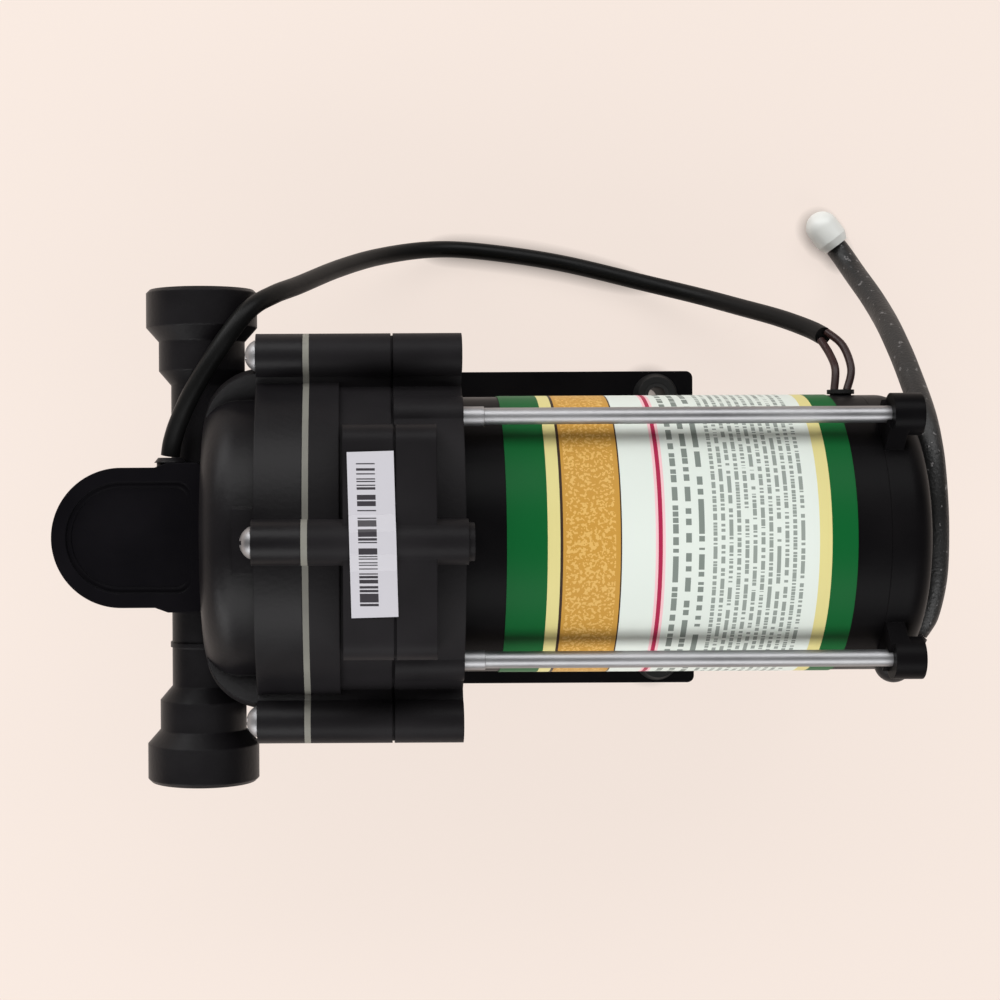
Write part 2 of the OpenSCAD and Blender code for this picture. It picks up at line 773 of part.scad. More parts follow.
brush_nose = commutator_r + swing;
brush_tail = brush_nose + brush_l;
module brushes() {
    color("#2f2f31") along_x(0) for (s = [0, 180]) rotate(s) difference() {
        translate([-brush_t / 2, commutator_r - 2, brush_x])
            cube([brush_t, brush_tail - commutator_r + 2, brush_w]);
        translate([0, 0, brush_x - 1]) cylinder(r = brush_nose, h = brush_w + 2);
    }
}

module brush_springs() {
    color("silver") along_x(0) for (s = [0, 180]) rotate(s) translate([0, brush_tail, brush_x + brush_w / 2])
        rotate([-90, 0, 0]) translate([0, 0, 0.3])
            tube(coil(2, brush_spring_l - 0.6, 4, 8), 0.3, 6);
}

// Rear cap with four ears and a seat for the rear bearing
module rear_cap() {
    lip_l = 2;
    lip_t = 1.6;
    cap_wall = 3;
    seat_wall = 3;
    color("#161618") along_x(0) difference() {
        union() {
            translate([0, 0, can_end_x]) rotate_extrude() intersection() {
                square([can_r, cap_l]);
                union() {
                    square([can_r - cap_round, cap_l]);
                    square([can_r, cap_l - cap_round]);
                    translate([can_r - cap_round, cap_l - cap_round]) circle(r = cap_round);
                }
            }
            translate([0, 0, can_end_x - lip_l]) ring(can_in_r - fit, can_in_r - lip_t, lip_l + 1);
            for (i = [0 : 3]) rotate(45 + 90 * i) {
                translate([0, through_c * sqrt(2), ear_x]) cylinder(r = ear_r, h = ear_l);
                translate([-ear_r, can_r - 8, can_end_x])
                    cube([2 * ear_r, through_c * sqrt(2) - can_r + 8, cap_l - cap_round]);
            }
        }
        translate([0, 0, can_end_x - 1])
            ring(can_in_r - lip_t - 1, bearing_r + seat_wall, cap_l - cap_wall + 1);
        translate([0, 0, rear_bearing_x]) cylinder(r = bearing_r, h = bearing_w);
        translate([0, 0, can_end_x - 3]) cylinder(r = bearing_r, h = rear_bearing_x - can_end_x + 3.5);
        at_corners() {
            translate([0, 0, ear_x - 1]) cylinder(r = through_r + fit, h = ear_l + 2);
            translate([0, 0, bolt_seat_x]) cylinder(r = bolt_head_r + fit, h = bolt_head_h + 1);
        }
        translate(spout_local) rotate(spout_turn) {
            translate([0, 0, -spout_l / 2]) sphere(r = spout_r);
            translate([0, 0, 1.5]) cylinder(r = spout_r, h = spout_l + 3, center = true);
        }
    }
}

// Through bolts from the ears to the rear housing, each with a collar at the front
module through_bolts() {
    bolt_start = motor_front_x - 7.5;
    color("#cfd0d4") along_x(0) at_corners() {
        translate([0, 0, bolt_start]) cylinder(r = through_r, h = bolt_seat_x + 0.5 - bolt_start);
        translate([0, 0, motor_front_x]) cylinder(r = collar_end_r, h = collar_end_l);
        translate([0, 0, bolt_seat_x]) mirror([0, 0, 1]) pan_head(bolt_head_r, bolt_head_h);
    }
}

// Base: plate with two arms beside the housing, upright for the screws and motor saddles
bracket_screw_z = plate_z0 + 7;
saddle_t = 4;
saddle_half_w = 22;
module base_bracket() {
    corner = 1.8;
    color("#141416") difference() {
        union() {
            translate([0, 0, plate_z0]) linear_extrude(plate_t) {
                translate([motor_front_x, -plate_w / 2])
                    square([plate_rear_x - motor_front_x - corner, plate_w]);
                translate([motor_front_x, corner - plate_w / 2])
                    square([plate_rear_x - motor_front_x, plate_w - 2 * corner]);
                for (s = [-1, 1]) translate([plate_rear_x - corner, s * (plate_w / 2 - corner)])
                    circle(r = corner);
                for (s = [0, 1]) mirror([0, s]) translate([arm_front_x, arm_inner_y])
                    square([motor_front_x - arm_front_x + 1, plate_w / 2 - arm_inner_y]);
            }
            translate([motor_front_x, -upright_w / 2, plate_z0])
                cube([upright_t, upright_w, plate_t + upright_h]);
            for (x = [4, plate_rear_x - 10]) translate([x, -saddle_half_w, plate_top - 1])
                cube([saddle_t, 2 * saddle_half_w, 18]);
        }
        along_x(motor_front_x - 1) cylinder(r = can_r + wrap_t + fit, h = can_l);
        along_x(motor_front_x - 1) rotate(180) translate([0, bolt_circle_r])
            cylinder(r = boss_end_r + 0.4, h = boss_end_l + 1.4);
        for (s = [-1, 1]) translate([motor_front_x - 1, s * bracket_screw_y, bracket_screw_z])
            rotate([0, 90, 0]) cylinder(r = bracket_screw_r + fit, h = upright_t + 2);
        at_feet() translate([0, 0, plate_z0 - 1]) cylinder(r = foot_neck_r, h = plate_t + 2);
    }
}

module bracket_screws() {
    color("silver") for (s = [-1, 1])
        translate([motor_front_x + upright_t, s * bracket_screw_y, bracket_screw_z]) rotate([0, -90, 0]) {
            cylinder(r = bracket_screw_r, h = upright_t + 7);
            pan_head(3.2, 2.2);
        }
}

// Rubber feet, each with a groove that the plate sits in
module rubber_feet() {
    edge = 1;
    color("#202022") at_feet() difference() {
        rotate_extrude() polygon([[0, 0], [foot_r - edge, 0], [foot_r, edge], [foot_r, plate_z0 - edge],
            [foot_r - edge, plate_z0], [foot_neck_r, plate_z0], [foot_neck_r, plate_top],
            [foot_collar_r, plate_top],
            [foot_collar_r - edge, plate_top + foot_collar_t], [0, plate_top + foot_collar_t]]);
        translate([0, 0, -1]) cylinder(r = bush_r, h = plate_top + foot_collar_t + 2);
    }
}

module foot_bushes() {
    color("silver") at_feet() ring(bush_r, foot_hole_r, plate_top + foot_collar_t);
}

// Grommet where the switch leads enter the motor
module lead_grommet() {
    flange_t = 1;
    color("#241a18") translate([grommet_x, 0, axis_h]) rotate([-90, 0, 0]) difference() {
        union() {
            translate([0, 0, can_in_r]) cylinder(r = grommet_r, h = can_wall + flange_t);
            translate([0, 0, can_r + swing]) cylinder(r = grommet_r + 0.7, h = flange_t);
        }
        for (s = [-1, 1]) translate([s * wire_gap / 2, 0, can_in_r - 2]) cylinder(r = wire_d / 2, h = 10);
    }
}

// Switch shells: round front, straight sides and a wider saddle over the pipe
module switch_outline() {
    translate([switch_x, 0]) circle(r = switch_r);
    translate([switch_x, -switch_r]) square([saddle_x - switch_x, 2 * switch_r]);
    polygon([[saddle_x - saddle_l - saddle_slope, -switch_r], [saddle_x - saddle_l, -saddle_w / 2],
        [saddle_x - 1, -saddle_w / 2], [saddle_x, 1 - saddle_w / 2], [saddle_x, saddle_w / 2 - 1],
        [saddle_x - 1, saddle_w / 2], [saddle_x - saddle_l, saddle_w / 2],
        [saddle_x - saddle_l - saddle_slope, switch_r]]);
}

module pipe_channel() {
    translate([pipe_x, 0, axis_h]) rotate([90, 0, 0])
        cylinder(r = pipe_r + 0.4 + channel_gap, h = saddle_w + 2, center = true);
    translate([pipe_x, -saddle_w / 2 - 1, axis_h - pipe_r - 0.4 - channel_gap])
        cube([pipe_r + 2, saddle_w + 2, 2 * (pipe_r + 0.4 + channel_gap)]);
}

switch_screw_r = 0.9;
switch_screw_c = 14.3;
module at_switch_screws() {
    for (a = [60, 120, 240, 300])
        translate([switch_x + switch_screw_c * cos(a), switch_screw_c * sin(a)]) children();
}

module switch_body() {
    color("#19191c") difference() {
        from_above(0, -switch_bottom) linear_extrude(parting_z + switch_bottom) switch_outline();
        pipe_channel();
        from_above(press_x, parting_z - 4.5) cylinder(r = pressure_r, h = 5);
        from_above(press_x, membrane_z) cylinder(r = switch_membrane_r + fit, h = 2);
        translate([pipe_x - pipe_r - 1, sense_y, axis_h + sense_z]) rotate([0, -90, 0])
            cylinder(r = sense_r, h = switch_reach - pipe_r + 1);
        translate([pipe_x - pipe_r + 2, sense_y, axis_h + sense_z]) rotate([0, -90, 0])
            cylinder(r = spigot_r + 0.9, h = spigot_l + 2);
        from_above(pipe_x - 1.5, -switch_bottom - 1) cylinder(r = 1.3 + fit, h = 10);
        from_above(pipe_x - 1.5, -switch_bottom - 1) cylinder(r = 2.7, h = 3);
        from_above(0, -switch_bottom - 1) at_switch_screws() cylinder(r = switch_screw_r + fit, h = 20);
        from_above(0, -switch_bottom - 1) at_switch_screws() cylinder(r = 1.7, h = 2.5);
    }
}

// Outline of the bare panel: round at the front, straight with rounded corners at the rear
module panel_outline(inset) {
    half_w = switch_r - inset;
    rear_x = saddle_x - 1 - inset / 2;
    corner = 3;
    intersection() {
        translate([switch_x, 0]) circle(r = half_w);
        translate([switch_x - switch_r, -switch_r]) square([switch_r, 2 * switch_r]);
    }
    translate([switch_x - 0.1, -half_w]) square([rear_x - corner - switch_x + 0.1, 2 * half_w]);
    translate([rear_x - corner - 0.1, corner - half_w]) square([corner + 0.1, 2 * (half_w - corner)]);
    for (s = [-1, 1]) translate([rear_x - corner, s * (half_w - corner)]) circle(r = corner);
}

// Upper shell with the bare recessed panel on top
module switch_cover() {
    panel_in = 3.4;
    hollow_top = micro_top;
    way_a = atan2(5 - saddle_w / 2, press_x - gland_x);
    way_l = norm([5 - saddle_w / 2, press_x - gland_x]) - 4;
    color("#19191c") difference() {
        from_above(0, parting_z) linear_extrude(switch_top - parting_z) switch_outline();
        pipe_channel();
        from_above(press_x, parting_z - 1) cylinder(r = hollow_r, h = hollow_top - parting_z + 1);
        from_above(press_x, parting_z - 1)
            cylinder(r = clamp_r, h = spring_seat_z + spring_plate_t - parting_z + 1);
        from_above(0, switch_top - panel_d) linear_extrude(panel_d + 1) {
            panel_outline(panel_in);
        }
        from_above(0, switch_top - panel_d - 0.3) linear_extrude(panel_d + 1) panel_outline(panel_in + 1.2);
        translate([gland_x, saddle_w / 2 - 5, axis_h + gland_z]) rotate([-90, 0, 0])
            cylinder(r = gland_r, h = 6);
        translate([gland_x, saddle_w / 2 - 5, axis_h + gland_z]) rotate([0, 90, way_a])
            cylinder(r = 1.6, h = way_l);
        from_above(0, parting_z - 1) at_switch_screws() cylinder(r = switch_screw_r + fit, h = 7);
    }
}

module switch_diaphragm() {
    color("#2c2c2c") from_above(press_x, membrane_z) cylinder(r = switch_membrane_r, h = switch_membrane_t);
}

module switch_plunger() {
    color("#e6e6e0") from_above(press_x, plate_z) {
        cylinder(r = plunger_plate_r, h = plunger_plate_t);
        cylinder(r = stem_r, h = plunger_plate_t + stem_l);
    }
}

module switch_spring() {
    color("silver") from_above(press_x, spring_z + spring_wire_r)
        tube(coil(spring_r, spring_l - 2 * spring_wire_r, spring_turns, 12), spring_wire_r, 6);
}

module spring_plate() {
    color("silver") from_above(press_x, spring_seat_z)
        ring(clamp_r - fit, stem_r + swing, spring_plate_t);
}

module microswitch() {
    color("#20242c") difference() {
        from_above(press_x, micro_z) translate([-micro_l / 2, -micro_w / 2])
            cube([micro_l, micro_w, micro_top - micro_z]);
        from_above(press_x, micro_z - 1) cylinder(r = button_r + fit, h = button_l + 1.6);
    }
}

module microswitch_button() {
    color("#b03028") from_above(press_x, button_z) cylinder(r = button_r, h = button_l);
}

module switch_cover_screws() {
    color("silver") from_above(0, -switch_bottom + 1.5) at_switch_screws() {
        pan_head(1.6, 1.2);
        cylinder(r = switch_screw_r, h = switch_bottom + parting_z + 4);
    }
}

module switch_mount_screw() {
    color("silver") from_above(pipe_x - 1.5, -switch_bottom + 2) {
        pan_head(2.6, 1.8);
        cylinder(r = 1.3, h = switch_bottom - 2 - pipe_r + 5);
    }
}

// Seal round the short tube that feeds the switch
module spigot_ring() {
    color("#2c2c2c") translate([pipe_x - pipe_r + 1, sense_y, axis_h + sense_z]) rotate([0, -90, 0])
        ring(spigot_r, sense_r, spigot_l + 1);
}

module cable_gland() {
    color("#1c1c1e") translate([gland_x, saddle_w / 2, axis_h + gland_z]) rotate([-90, 0, 0]) difference() {
        union() {
            translate([0, 0, -5]) cylinder(r = gland_r, h = 5);
            cylinder(r1 = gland_flange_r, r2 = cable_d / 2 + 0.6, h = gland_flange_t);
        }
        translate([0, 0, -6]) cylinder(r = cable_d / 2 - 0.2, h = 8);
    }
}

cable_start = [gland_x, saddle_w / 2 + gland_flange_t + 0.4, axis_h + gland_z];
cable_points = [for (p = cable_route) cable_start + p];
module switch_cable() {
    color("#19191b") tube(smooth(cable_points, 3), cable_d / 2, 10);
}

// Two leads from the cable's end into the grommet
wire_gap = 3;
wire_end = [grommet_x, can_r + 1.8, axis_h];
cable_end = cable_points[len(cable_points) - 1];
module cable_wires() {
    for (s = [-1, 1]) {
        start = cable_end + [s * 0.7, s, 0.4];
        stop = wire_end + [s * wire_gap / 2, 0, 0];
        route = [start, start + [2.2 + s * 0.9, -3.6, 3.4], stop + [1 + s * 0.4, 5.1, -1.2], stop];
        color("#3a1218") tube(smooth(route, 4), wire_d / 2, 8);
    }
}

// Spout on the rear cap that the sleeve comes out of
spout_r = 4.4;
spout_l = 9;
spout_turn = [0, 55, 0];
spout_local = [-27, 9.5, cap_x - 1.4];
module lead_spout() {
    color("#161618") along_x(0) translate(spout_local) rotate(spout_turn) difference() {
        union() {
            translate([0, 0, -spout_l / 2]) sphere(r = spout_r);
            cylinder(r1 = spout_r, r2 = sleeve_d / 2 + 0.4, h = spout_l, center = true);
        }
        cylinder(r = 2, h = spout_l + 2, center = true);
    }
}

function raised(r) = [for (p = r) p + [0, 0, axis_h]];
module lead_sleeve() {
    color("#1b1b1d") tube(smooth(raised(sleeve_route), 3), sleeve_d / 2, 10);
}

module crimp_cap() {
    color("#e9ece8") translate(cap_end + [0, 0, axis_h]) rotate([-90, 0, cap_turn]) rotate_extrude()
        intersection() {
            square([cap_hat_r, cap_hat_l]);
            union() {
                polygon([[0, 0], [cap_hat_r - 0.9, 0], [cap_hat_r, 2], [cap_hat_r, cap_hat_l - cap_hat_r],
                    [0, cap_hat_l - cap_hat_r]]);
                translate([0, cap_hat_l - cap_hat_r]) circle(r = cap_hat_r);
            }
        }
}

// Thin sticker over the top pad, draped over the screw boss
sticker_l = 35.4;
sticker_y = 1.8;
sticker_turn = 1.4;
sticker_w = 10;
sticker_t = 0.2;
sticker_x = rim_x + housing_flange_l + 2.2;
module paper_sticker() {
    crest = bolt_circle_r + boss_r + 0.05;
    rest = pad_h + 0.05;
    foot_y = boss_r + 1;
    flat_y = 2.4;
    under = [[sticker_y - sticker_l / 2, rest], [-foot_y, rest], [-flat_y, crest], [flat_y, crest],
        [foot_y, rest],
        [sticker_y + sticker_l / 2, rest]];
    over = [for (i = [len(under) - 1 : -1 : 0]) under[i] + [0, sticker_t]];
    color("#f2f2ee") translate([sticker_x + sticker_w / 2, 0, 0]) rotate(sticker_turn)
        along_x(-sticker_w / 2) linear_extrude(sticker_w) polygon(concat(under, over));
}

front_cover();
valve_plate();
inlet_valves();
outlet_valve();
diaphragm();
piston_pads();
piston_screws();
wobble_plate();
wobble_bearing();
eccentric_hub();
hub_set_screw();
housing_front();
housing_rear();
head_screws();
motor_can();
motor_wrap();
magnets();
motor_shaft();
armature_core();
windings();
commutator();
front_bearing();
rear_bearing();
brush_holder();
brushes();
brush_springs();
rear_cap();
through_bolts();
base_bracket();
bracket_screws();
rubber_feet();
foot_bushes();
lead_grommet();
switch_body();
switch_cover();
switch_diaphragm();
switch_plunger();
switch_spring();
spring_plate();
microswitch();
microswitch_button();
switch_cover_screws();
switch_mount_screw();
spigot_ring();
cable_gland();
switch_cable();
cable_wires();
lead_spout();
lead_sleeve();
crimp_cap();
paper_sticker();
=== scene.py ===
import bpy
import json
import math
from mathutils import Matrix, Vector


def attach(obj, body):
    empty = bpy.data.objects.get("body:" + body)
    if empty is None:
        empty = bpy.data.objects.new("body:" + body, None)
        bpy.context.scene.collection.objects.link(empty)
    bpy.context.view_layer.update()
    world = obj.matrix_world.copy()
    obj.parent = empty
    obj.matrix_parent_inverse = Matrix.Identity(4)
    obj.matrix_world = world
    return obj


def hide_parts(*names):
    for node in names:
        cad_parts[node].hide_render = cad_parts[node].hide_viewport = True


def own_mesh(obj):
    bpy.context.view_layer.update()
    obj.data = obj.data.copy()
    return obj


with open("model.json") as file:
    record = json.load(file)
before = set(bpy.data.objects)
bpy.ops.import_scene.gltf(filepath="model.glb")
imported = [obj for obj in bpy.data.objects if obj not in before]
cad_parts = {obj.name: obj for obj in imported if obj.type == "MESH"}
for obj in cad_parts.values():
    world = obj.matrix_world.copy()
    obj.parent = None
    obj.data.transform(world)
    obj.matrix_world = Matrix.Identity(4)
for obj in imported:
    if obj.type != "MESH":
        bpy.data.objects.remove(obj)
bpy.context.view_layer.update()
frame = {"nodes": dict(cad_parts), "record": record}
nodes = frame["nodes"]
scene = bpy.context.scene
scene.view_settings.view_transform = "Standard"
MM = 0.001

# Sizes in millimetres, as in the solids
AXIS_H = 58.0
WRAP_R = 33.0
CABLE_D = 4.5
WIRE_D = 1.9
SLEEVE_D = 5.8


# Small helpers for shader nodes
def maths(tree, kind, a, b=None):
    node = tree.nodes.new("ShaderNodeMath")
    node.operation = kind
    for socket, value in zip(node.inputs, (a, b)):
        if value is None:
            continue
        if isinstance(value, (int, float)):
            socket.default_value = value
        else:
            tree.links.new(value, socket)
    return node.outputs["Value"]


def between(tree, value, low, high):
    above = maths(tree, "GREATER_THAN", value, low)
    below = maths(tree, "LESS_THAN", value, high)
    return maths(tree, "MULTIPLY", above, below)


def noise(tree, vector, scale, detail=2.0):
    node = tree.nodes.new("ShaderNodeTexNoise")
    node.inputs["Scale"].default_value = scale
    node.inputs["Detail"].default_value = detail
    tree.links.new(vector, node.inputs["Vector"])
    return node.outputs["Fac"]


# Each colour is three numbers or the output of another node
def mix_colours(tree, share, first, second):
    node = tree.nodes.new("ShaderNodeMix")
    node.data_type = "RGBA"
    tree.links.new(share, node.inputs["Factor"])
    for socket, colour in ((node.inputs["A"], first), (node.inputs["B"], second)):
        if isinstance(colour, tuple):
            socket.default_value = (*colour, 1.0)
        else:
            tree.links.new(colour, socket)
    return node.outputs["Result"]


GRAIN_DEPTH = 0.5 * MM


def bump_node(tree, height, strength):
    node = tree.nodes.new("ShaderNodeBump")
    node.inputs["Strength"].default_value = strength
    node.inputs["Distance"].default_value = GRAIN_DEPTH
    tree.links.new(height, node.inputs["Height"])
    return node


def new_material(name):
    mat = bpy.data.materials.new(name)
    mat.use_nodes = True
    return mat, mat.node_tree, mat.node_tree.nodes["Principled BSDF"]


# Colours read as 0 to 255 are turned into the linear values that the shaders take
def srgb(*levels):
    linear = []
    for level in levels:
        share = level / 255
        linear.append(share / 12.92 if level <= 10 else ((share + 0.055) / 1.055) ** 2.4)
    return tuple(linear)


# Between these two levels of a soft noise a material goes from its dark tone to its light one
TONE_FROM = 0.3
TONE_TO = 0.7
# Pale worn specks, on the sleeve
FLECK_SCALE = 620.0
FLECK_CUT = 0.66
FLECK_COLOUR = (0.22, 0.21, 0.21)


# Materials: each is a Principled shader with two soft tones, worn roughness and a fine grain
def material(name, dark, light, rough, rough_to=None, metal=0.0, grain=400.0, bump=0.05, tone=60.0, spec=0.5,
             bevel=0.0, fleck=0.0):
    mat, tree, shader = new_material(name)
    shader.inputs["Metallic"].default_value = metal
    shader.inputs["Specular IOR Level"].default_value = spec
    place = tree.nodes.new("ShaderNodeTexCoord").outputs["Object"]
    soft = noise(tree, place, tone, detail=3.0)
    ramp = tree.nodes.new("ShaderNodeValToRGB")
    for stop, level, colour in zip(ramp.color_ramp.elements, (TONE_FROM, TONE_TO), (dark, light)):
        stop.position = level
        stop.color = (*colour, 1.0)
    tree.links.new(soft, ramp.inputs["Fac"])
    colour = ramp.outputs["Color"]
    if fleck > 0:
        specks = maths(tree, "GREATER_THAN", noise(tree, place, FLECK_SCALE, detail=4.0), FLECK_CUT)
        colour = mix_colours(tree, maths(tree, "MULTIPLY", specks, fleck), colour, FLECK_COLOUR)
    tree.links.new(colour, shader.inputs["Base Color"])
    worn = tree.nodes.new("ShaderNodeMapRange")
    worn.inputs["From Min"].default_value = TONE_FROM
    worn.inputs["From Max"].default_value = TONE_TO
    worn.inputs["To Min"].default_value = rough
    worn.inputs["To Max"].default_value = rough if rough_to is None else rough_to
    tree.links.new(soft, worn.inputs["Value"])
    tree.links.new(worn.outputs["Result"], shader.inputs["Roughness"])
    skin = bump_node(tree, noise(tree, place, grain), bump)
    if bevel > 0:
        edge = tree.nodes.new("ShaderNodeBevel")
        edge.samples = 4
        edge.inputs["Radius"].default_value = bevel * MM
        tree.links.new(edge.outputs["Normal"], skin.inputs["Normal"])
    tree.links.new(skin.outputs["Normal"], shader.inputs["Normal"])
    return mat


LOOKS = {
    "black_plastic": dict(dark=(0.0055, 0.0048, 0.0056), light=(0.0085, 0.0078, 0.0088), rough=0.36,
                          rough_to=0.44, bump=0.08, grain=900, spec=0.15, bevel=0.5),
    # Black plastic lightened with painted light, standing in for the light on the housings' flat pads
    "housing_plastic_painted_light": dict(dark=(0.009, 0.0082, 0.009), light=(0.016, 0.0147, 0.016), rough=0.42,
                            rough_to=0.52, bump=0.10, grain=900, tone=34.0, spec=0.07, bevel=0.5),
    "switch_plastic": dict(dark=(0.0028, 0.0025, 0.0034), light=(0.0046, 0.004, 0.0052), rough=0.40,
                           rough_to=0.48, bump=0.08, grain=900, spec=0.05, bevel=0.5),
    "black_paint": dict(dark=(0.003, 0.0028, 0.0032), light=(0.005, 0.0045, 0.005), rough=0.34,
                        rough_to=0.42, bump=0.05, grain=500, spec=0.04, bevel=0.4),
    "pale_plastic": dict(dark=(0.60, 0.60, 0.56), light=(0.70, 0.70, 0.66), rough=0.45),
    "dark_rubber": dict(dark=(0.004, 0.004, 0.004), light=(0.008, 0.008, 0.008), rough=0.6, rough_to=0.7,
                        spec=0.3, bump=0.15, bevel=0.3),
    "cream_rubber": dict(dark=(0.145, 0.141, 0.122), light=(0.215, 0.21, 0.182), rough=0.55, bump=0.1,
                         spec=0.3),
    "grey_alloy": dict(dark=(0.40, 0.40, 0.40), light=(0.52, 0.52, 0.52), rough=0.4, metal=1.0),
    "steel": dict(dark=(0.50, 0.50, 0.52), light=(0.62, 0.62, 0.64), rough=0.25, metal=1.0),
    "zinc": dict(dark=(0.28, 0.28, 0.29), light=(0.37, 0.37, 0.38), rough=0.42, rough_to=0.52, metal=1.0,
                 bump=0.03, bevel=0.25),
    "magnet": dict(dark=(0.04, 0.04, 0.045), light=(0.06, 0.06, 0.06), rough=0.6),
    "core_steel": dict(dark=(0.20, 0.20, 0.21), light=(0.30, 0.30, 0.31), rough=0.45, metal=1.0),
    "copper": dict(dark=(0.45, 0.18, 0.07), light=(0.62, 0.28, 0.12), rough=0.35, metal=1.0),
    "brown_plastic": dict(dark=(0.05, 0.025, 0.015), light=(0.08, 0.04, 0.025), rough=0.5),
    "carbon": dict(dark=(0.02, 0.02, 0.02), light=(0.03, 0.03, 0.03), rough=0.6),
    "blue_plastic": dict(dark=(0.02, 0.03, 0.06), light=(0.03, 0.04, 0.08), rough=0.4),
    "red_plastic": dict(dark=(0.35, 0.02, 0.015), light=(0.45, 0.03, 0.02), rough=0.35),
    "cable_jacket": dict(dark=(0.004, 0.004, 0.004), light=(0.007, 0.007, 0.007), rough=0.38, rough_to=0.48,
                         spec=0.12, bump=0.06),
    "lead_insulation": dict(dark=(0.020, 0.007, 0.007), light=(0.034, 0.012, 0.011), rough=0.40, spec=0.3),
    "sleeve": dict(dark=(0.006, 0.006, 0.006), light=(0.014, 0.014, 0.014), rough=0.40, rough_to=0.55,
                   spec=0.45, bump=0.35, grain=1400, fleck=0.55),
    "clear_nylon": dict(dark=(0.76, 0.77, 0.74), light=(0.82, 0.83, 0.80), rough=0.3, rough_to=0.4,
                        bump=0.03),
    "black_steel": dict(dark=(0.010, 0.010, 0.010), light=(0.020, 0.020, 0.020), rough=0.45, rough_to=0.55,
                        spec=0.3),
}
MAT = {name: material(name, **look) for name, look in LOOKS.items()}


# Each row of dashes takes its breaks from another place in the noise, this far along
ROW_OFFSET = 7.3
DASH_CUT = 0.44


# Plain dashes round the wrap, in place of its words: rows from x0 to x1, a pitch apart, and inked over
# a share of it. A higher beat gives shorter dashes, and weight is how strongly they cover the ground
def plain_rows(tree, x, arc, x0, x1, pitch, share, beat, weight):
    step = maths(tree, "DIVIDE", maths(tree, "SUBTRACT", x, x0 * MM), pitch * MM)
    row = maths(tree, "LESS_THAN", maths(tree, "FRACT", step), share)
    place = tree.nodes.new("ShaderNodeCombineXYZ")
    tree.links.new(maths(tree, "MULTIPLY", maths(tree, "FLOOR", step), ROW_OFFSET), place.inputs["X"])
    tree.links.new(maths(tree, "MULTIPLY", arc, beat), place.inputs["Y"])
    breaks = noise(tree, place.outputs["Vector"], 1.0, detail=0.0)
    dashes = maths(tree, "MULTIPLY", row, maths(tree, "GREATER_THAN", breaks, DASH_CUT))
    inside = between(tree, x, x0 * MM, x1 * MM)
    return maths(tree, "MULTIPLY", dashes, maths(tree, "MULTIPLY", inside, weight))


# Colours of the printed wrap
GREEN = srgb(14, 88, 42)
GOLD = srgb(212, 202, 138)
ORANGE = srgb(190, 143, 64)
GILT = srgb(222, 182, 108)
INK = srgb(58, 44, 36)
SILVER = srgb(214, 221, 214)
CRIMSON = srgb(164, 40, 74)
PINK = srgb(232, 186, 192)
ROW_INK = srgb(94, 104, 98)
# Where each band starts along the motor, in millimetres
WRAP_BANDS = [(-15.4, GREEN), (-6.4, GOLD), (-3.5, INK), (-3.1, ORANGE), (9.8, INK), (10.2, SILVER),
              (17.5, PINK), (18.2, CRIMSON), (19.1, PINK), (19.8, SILVER), (54.2, GOLD), (57.0, GREEN)]
WRAP_FROM = -16.0 * MM
WRAP_TO = 64.0 * MM
# Gilt flecks on the orange band
GILT_FROM = -2.2
GILT_TO = 8.9
GILT_SCALE = 1500.0
GILT_CUT = 0.54
GILT_WEIGHT = 0.7


# Printed wrap: bands of colour along the motor, with rows of dashes and no words
def wrap_material():
    mat, tree, shader = new_material("printed_wrap")
    shader.inputs["Roughness"].default_value = 0.42
    shader.inputs["Specular IOR Level"].default_value = 0.06
    place = tree.nodes.new("ShaderNodeTexCoord").outputs["Object"]
    axes = tree.nodes.new("ShaderNodeSeparateXYZ")
    tree.links.new(place, axes.inputs["Vector"])
    x = axes.outputs["X"]
    along = tree.nodes.new("ShaderNodeMapRange")
    along.inputs["From Min"].default_value = WRAP_FROM
    along.inputs["From Max"].default_value = WRAP_TO
    tree.links.new(x, along.inputs["Value"])
    ramp = tree.nodes.new("ShaderNodeValToRGB")
    ramp.color_ramp.interpolation = "CONSTANT"
    cuts = ramp.color_ramp.elements
    while len(cuts) > 1:
        cuts.remove(cuts[-1])
    for i, (start, colour) in enumerate(WRAP_BANDS):
        share = 0.0 if i == 0 else (start * MM - WRAP_FROM) / (WRAP_TO - WRAP_FROM)
        stop = cuts[0] if i == 0 else cuts.new(share)
        stop.position = share
        stop.color = (*colour, 1.0)
    tree.links.new(along.outputs["Result"], ramp.inputs["Fac"])
    height = maths(tree, "SUBTRACT", axes.outputs["Z"], AXIS_H * MM)
    arc = maths(tree, "MULTIPLY", maths(tree, "ARCTAN2", axes.outputs["Y"], height), WRAP_R * MM)
    wide_rows = plain_rows(tree, x, arc, 21.6, 29.9, pitch=2.9, share=0.44, beat=700.0, weight=0.85)
    fine_rows = plain_rows(tree, x, arc, 30.6, 51.4, pitch=1.78, share=0.5, beat=1500.0, weight=0.72)
    rows = maths(tree, "MAXIMUM", wide_rows, fine_rows)
    specks = maths(tree, "GREATER_THAN", noise(tree, place, GILT_SCALE, detail=1.0), GILT_CUT)
    flecks = maths(tree, "MULTIPLY", specks, between(tree, x, GILT_FROM * MM, GILT_TO * MM))
    ground = mix_colours(tree, maths(tree, "MULTIPLY", flecks, GILT_WEIGHT), ramp.outputs["Color"], GILT)
    tree.links.new(mix_colours(tree, rows, ground, ROW_INK), shader.inputs["Base Color"])
    skin = bump_node(tree, noise(tree, place, 120.0), 0.02)
    tree.links.new(skin.outputs["Normal"], shader.inputs["Normal"])
    return mat


FILM = srgb(190, 188, 194)
BAR_INK = srgb(46, 42, 48)
# Bars take their width from a random run of steps, inside a window that leans with the sticker
BAR_STEP = 0.27
BAR_CUT = 0.42
BAR_LEAN = 0.0244
BARS_X = (-48.6 * MM, -44.6 * MM)
BARS_Y = (-13.6 * MM, 17.4 * MM)


